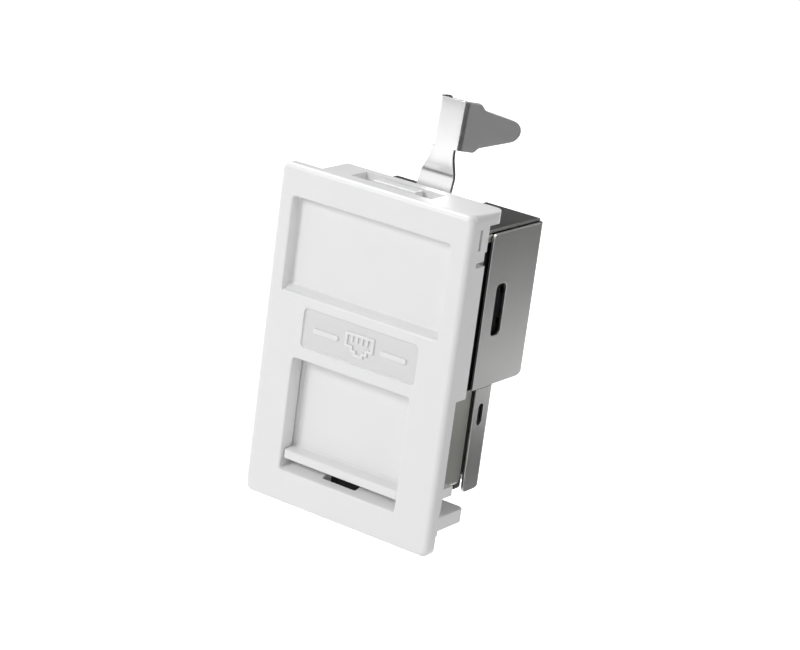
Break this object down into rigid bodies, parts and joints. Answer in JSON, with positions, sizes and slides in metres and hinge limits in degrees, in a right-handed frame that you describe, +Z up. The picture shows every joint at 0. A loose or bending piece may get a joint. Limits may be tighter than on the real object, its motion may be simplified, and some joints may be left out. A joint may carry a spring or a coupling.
{
  "type": "shielded keystone jack module",
  "caption": "Snap-in 25 x 38 mm shielded keystone data outlet: white bezel with label recess, sprung sliding shutter, RJ45 socket, wire terminals, metal rear cans and a cable clamp strap.",
  "frame": {"origin": "centre of the bezel's front face, where the module sits in its faceplate aperture", "axes": "+Z up along the bezel's long side, +Y back into the wall box, +X to the right seen from the front"},
  "size_m": [0.025, 0.0187, 0.0465],
  "materials": {
    "white_moulding": "satin",
    "black_moulding": "matte",
    "grey_moulding": "matte",
    "clear_cap": "satin",
    "board_laminate": "satin",
    "dark_shield": "satin",
    "shield_steel": "satin",
    "bright_steel": "bright",
    "gold_contact": "bright",
    "spring_steel": "bright"
  },
  "bodies": {
    "module": {"bezel": "white_moulding", "jack_housing": "black_moulding", "contact_carrier": "black_moulding", "circuit_board": "board_laminate", "front_shield": "dark_shield", "rear_shield": "shield_steel", "lower_shield": "shield_steel", "cable_clamp": "bright_steel", "idc_block_left": "grey_moulding", "idc_block_right": "grey_moulding", "wire_cap_left": "clear_cap", "wire_cap_right": "clear_cap", "contact_wire_1": "gold_contact", "contact_wire_2": "gold_contact", "contact_wire_3": "gold_contact", "contact_wire_4": "gold_contact", "contact_wire_5": "gold_contact", "contact_wire_6": "gold_contact", "contact_wire_7": "gold_contact", "contact_wire_8": "gold_contact", "idc_blade_1": "gold_contact", "idc_blade_2": "gold_contact", "idc_blade_3": "gold_contact", "idc_blade_4": "gold_contact", "idc_blade_5": "gold_contact", "idc_blade_6": "gold_contact", "idc_blade_7": "gold_contact", "idc_blade_8": "gold_contact", "shutter_spring_left": "spring_steel", "shutter_spring_right": "spring_steel"},
    "shutter": {"shutter": "white_moulding"}
  },
  "joints": [
    {"name": "shutter_slide", "type": "slide", "parent": "module", "child": "shutter", "axis": [0, 0, 1], "range_m": [0, 0.0105], "stiffness_N_per_m": 60, "springref_m": -0.004, "deforming": ["shutter_spring_left", "shutter_spring_right"]}
  ]
}
